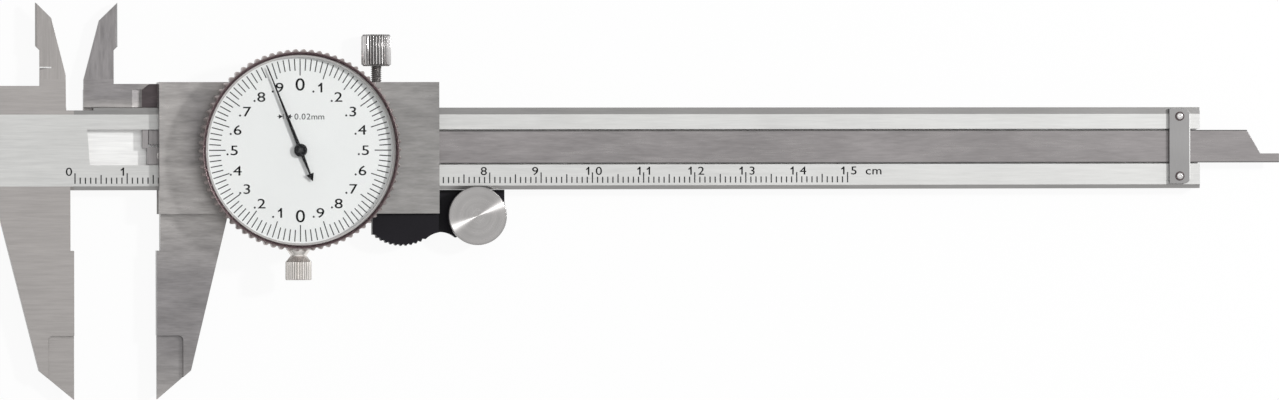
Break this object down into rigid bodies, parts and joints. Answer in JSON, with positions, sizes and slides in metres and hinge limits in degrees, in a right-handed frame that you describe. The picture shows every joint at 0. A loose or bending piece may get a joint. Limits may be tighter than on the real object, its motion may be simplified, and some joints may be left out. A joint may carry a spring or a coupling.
{
  "type": "dial caliper",
  "caption": "Dial caliper with a grooved beam, a sliding jaw head, a rack-driven dial under a knurled bezel, inside jaws, a depth bar, a lock screw and a thumb roller.",
  "frame": {"origin": "middle of the footprint at rest, on the surface that the caliper lies on with its dial up", "axes": "+X along the beam from the fixed jaw to the depth bar's tip, +Z out of the dial; the outside jaws point towards -Y"},
  "size_m": [0.25, 0.0762, 0.0142],
  "materials": {
    "satin_steel": "satin chrome, matt and even",
    "ground_steel": "ground, with straight grinding lines",
    "bar_steel": "brushed lengthwise",
    "rack_steel": "milled",
    "turned_steel": "turned in fine circles",
    "screw_steel": "turned",
    "spring_steel": "blued",
    "nickel": "bright nickel plate",
    "case_metal": "satin",
    "bezel_metal": "satin",
    "dial_enamel": "matt white",
    "needle_black": "matt black",
    "black_plastic": "finely grained",
    "seal_rubber": "dark",
    "crystal": "clear",
    "brass": "polished"
  },
  "bodies": {
    "beam": {"beam": "satin_steel", "rack": "rack_steel", "rack_screws": "screw_steel", "rack_stop": "bar_steel", "keeper_plate": "bar_steel", "keeper_screws": "nickel"},
    "slide": {"slide_frame": "ground_steel", "back_plate": "ground_steel", "back_plate_screws": "screw_steel", "gib": "brass", "gib_screws": "screw_steel", "depth_bar": "bar_steel", "depth_bar_screws": "screw_steel", "thumb_rest": "black_plastic", "thumb_rest_screws": "screw_steel", "roller_axle": "screw_steel", "dial_case": "case_metal", "case_screws": "screw_steel", "bezel_retaining_ring": "spring_steel", "movement_plate": "brass", "movement_screws": "screw_steel", "movement_bridge": "brass", "bridge_pillars": "brass", "bridge_screws": "screw_steel", "bushes": "brass", "hairspring": "spring_steel", "hairspring_stud": "screw_steel"},
    "thumb_roller": {"thumb_roller": "turned_steel"},
    "lock_screw": {"lock_screw": "nickel"},
    "bezel_clamp_screw": {"bezel_clamp_screw": "nickel"},
    "bezel": {"bezel": "bezel_metal", "seal_ring": "seal_rubber", "crystal": "crystal", "dial_face": "dial_enamel"},
    "rack_arbor": {"rack_pinion": "brass", "drive_gear": "brass"},
    "needle_arbor": {"centre_arbor": "screw_steel", "needle": "needle_black"},
    "take_up_wheel": {"take_up_arbor": "screw_steel", "take_up_gear": "brass"}
  },
  "joints": [
    {"name": "jaw_slide", "type": "slide", "parent": "beam", "child": "slide", "axis": [1, 0, 0], "range_m": [-0.01588, 0.13412]},
    {"name": "roller_spin", "type": "hinge", "parent": "slide", "child": "thumb_roller", "pos_m": [-0.03319, -0.00299, 0.00215], "axis": [0, 0, 1], "continuous": true},
    {"name": "lock_screw_turn", "type": "hinge", "parent": "slide", "child": "lock_screw", "pos_m": [-0.05246, 0.02278, 0.0032], "axis": [0, 1, 0], "range_deg": [-45, 720]},
    {"name": "clamp_screw_turn", "type": "hinge", "parent": "slide", "child": "bezel_clamp_screw", "pos_m": [-0.06809, -0.00895, 0.0083], "axis": [0, -1, 0], "range_deg": [-60, 720]},
    {"name": "bezel_turn", "type": "hinge", "parent": "slide", "child": "bezel", "pos_m": [-0.06809, 0.00965, 0.0118], "axis": [0, 0, 1], "continuous": true},
    {"name": "rack_arbor_spin", "type": "hinge", "parent": "slide", "child": "rack_arbor", "pos_m": [-0.07527, 0.00908, 0.0081], "axis": [0, 0, 1], "continuous": true},
    {"name": "needle_spin", "type": "hinge", "parent": "slide", "child": "needle_arbor", "pos_m": [-0.06809, 0.00965, 0.0081], "axis": [0, 0, 1], "continuous": true},
    {"name": "take_up_spin", "type": "hinge", "parent": "slide", "child": "take_up_wheel", "pos_m": [-0.06185, 0.00605, 0.0081], "axis": [0, 0, 1], "continuous": true}
  ],
  "couplings": [
    {"joint": "rack_arbor_spin", "follows": "jaw_slide", "rad_per_m": 628.32},
    {"joint": "needle_spin", "follows": "jaw_slide", "rad_per_m": -3141.6},
    {"joint": "take_up_spin", "follows": "jaw_slide", "rad_per_m": 628.32},
    {"joint": "roller_spin", "follows": "jaw_slide", "rad_per_m": 198.81}
  ]
}
